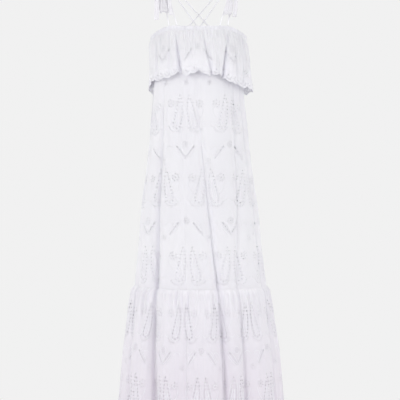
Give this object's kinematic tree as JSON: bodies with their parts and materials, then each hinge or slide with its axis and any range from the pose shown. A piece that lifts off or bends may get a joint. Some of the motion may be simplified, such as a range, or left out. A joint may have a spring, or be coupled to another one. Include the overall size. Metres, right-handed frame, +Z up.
{
  "type": "maxi dress",
  "caption": "Long white cutwork sundress with an elastic top, a bust ruffle, a gathered tier and thin tied straps that cross behind.",
  "frame": {"origin": "midway between the wearer's shoulders, at the height where the straps rest on them", "axes": "+Z up along the dress, the front faces -Y, +X is to the right in the picture"},
  "size_m": [0.5552, 0.4233, 1.502],
  "materials": {
    "cutwork_cotton": "white cotton with satin-stitched eyelets",
    "strap_cotton": "plain white cotton"
  },
  "bodies": {
    "root": {"body_front": "cutwork_cotton", "body_back": "cutwork_cotton", "tier_front": "cutwork_cotton", "tier_back": "cutwork_cotton", "ruffle_front": "cutwork_cotton", "ruffle_back": "cutwork_cotton", "casing_front": "cutwork_cotton", "casing_back": "cutwork_cotton", "strap_left_front_inner": "strap_cotton", "strap_left_front_outer": "strap_cotton", "strap_left_back_inner": "strap_cotton", "strap_left_back_outer": "strap_cotton", "strap_right_front_inner": "strap_cotton", "strap_right_front_outer": "strap_cotton", "strap_right_back_inner": "strap_cotton", "strap_right_back_outer": "strap_cotton", "bow_left_knot": "strap_cotton", "bow_left_loop_front": "strap_cotton", "bow_left_loop_side": "strap_cotton", "bow_left_tail_inner": "strap_cotton", "bow_left_tail_outer": "strap_cotton", "bow_right_knot": "strap_cotton", "bow_right_loop_inner": "strap_cotton", "bow_right_loop_outer": "strap_cotton", "bow_right_tail_back": "strap_cotton", "bow_right_tail_side": "strap_cotton"}
  },
  "joints": []
}
